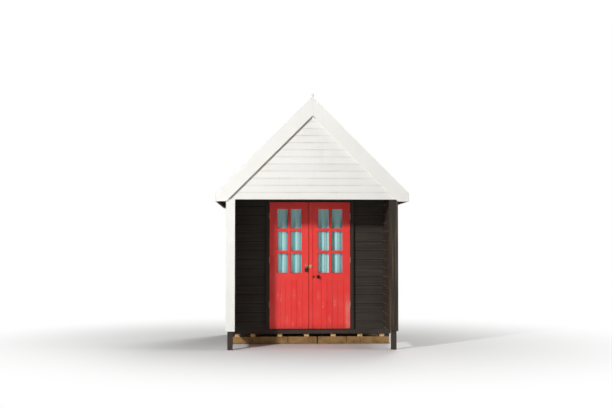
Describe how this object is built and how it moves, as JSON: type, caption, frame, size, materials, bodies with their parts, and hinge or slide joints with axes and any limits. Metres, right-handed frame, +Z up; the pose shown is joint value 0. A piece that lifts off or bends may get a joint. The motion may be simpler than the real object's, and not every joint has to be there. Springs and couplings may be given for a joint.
{
  "type": "beach hut",
  "caption": "Timber beach hut: black boarded room behind a white gabled open porch, red glazed double doors, on concrete blocks.",
  "frame": {"origin": "on the ground, under the middle of the hut's overall box", "axes": "+X to the right seen from the porch, +Y from the porch to the back, +Z up"},
  "size_m": [2.76, 2.803, 3.6461],
  "materials": {
    "white_paint": "weathered white paint",
    "black_paint": "black stained boards",
    "weathered_black": "worn black stain",
    "grey_timber": "weathered grey timber",
    "red_paint": "scuffed red paint",
    "sawn_timber": "sawn",
    "roof_felt": "mineral surface",
    "concrete": "rough",
    "mortar": "rough",
    "window_glass": "clear",
    "curtain_cloth": "plain weave",
    "zinc": "zinc plated",
    "dark_metal": "black"
  },
  "bodies": {
    "hut": {"bargeboard_front_left": "white_paint", "bargeboard_front_right": "white_paint", "cross_sole_plates": "sawn_timber", "door_frame": "black_paint", "door_stops": "black_paint", "eaves_fascias": "white_paint", "finial": "white_paint", "floor_deck": "sawn_timber", "floor_joists": "sawn_timber", "foundation_blocks": "concrete", "frame_hinges": "zinc", "front_cladding_left": "black_paint", "front_cladding_over": "black_paint", "front_cladding_right": "black_paint", "front_gable_cladding": "white_paint", "front_posts": "grey_timber", "front_skirt_board": "grey_timber", "gable_studs": "sawn_timber", "left_corner_trim": "white_paint", "left_porch_lining": "weathered_black", "left_side_cladding": "black_paint", "mortar_beds": "mortar", "porch_bottom_rails": "grey_timber", "rafters": "sawn_timber", "rear_bargeboards": "white_paint", "rear_cladding": "black_paint", "rear_corner_trims": "black_paint", "ridge_board": "sawn_timber", "ridge_cap": "roof_felt", "right_corner_trim": "weathered_black", "right_porch_lining": "weathered_black", "right_side_cladding": "black_paint", "roof_deck_left": "sawn_timber", "roof_deck_right": "sawn_timber", "roof_felt_left": "roof_felt", "roof_felt_right": "roof_felt", "side_bearers": "grey_timber", "side_sole_plates": "sawn_timber", "tie_beams": "sawn_timber", "wall_plates": "sawn_timber", "wall_studs": "sawn_timber"},
    "left_door": {"left_curtain": "curtain_cloth", "left_curtain_rod": "zinc", "left_door_boards": "red_paint", "left_door_frame": "red_paint", "left_door_glass": "window_glass", "left_door_hinges": "zinc", "padlock": "dark_metal", "padlock_staple": "zinc"},
    "right_door": {"hasp": "zinc", "lock_plates": "dark_metal", "meeting_strip": "red_paint", "right_curtain": "curtain_cloth", "right_curtain_rod": "zinc", "right_door_boards": "red_paint", "right_door_frame": "red_paint", "right_door_glass": "window_glass", "right_door_hinges": "zinc"},
    "knob": {"door_knob": "dark_metal"}
  },
  "joints": [
    {"name": "left_door_swing", "type": "hinge", "parent": "hut", "child": "left_door", "pos_m": [-0.6085, -0.5015, 1.259], "axis": [0, 0, -1], "range_deg": [0, 135]},
    {"name": "right_door_swing", "type": "hinge", "parent": "hut", "child": "right_door", "pos_m": [0.6085, -0.5015, 1.259], "axis": [0, 0, 1], "range_deg": [0, 135]},
    {"name": "knob_turn", "type": "hinge", "parent": "right_door", "child": "knob", "pos_m": [0.124, -0.5255, 1.008], "axis": [0, 1, 0], "range_deg": [-45, 45], "stiffness_Nm_per_rad": 0.2}
  ]
}
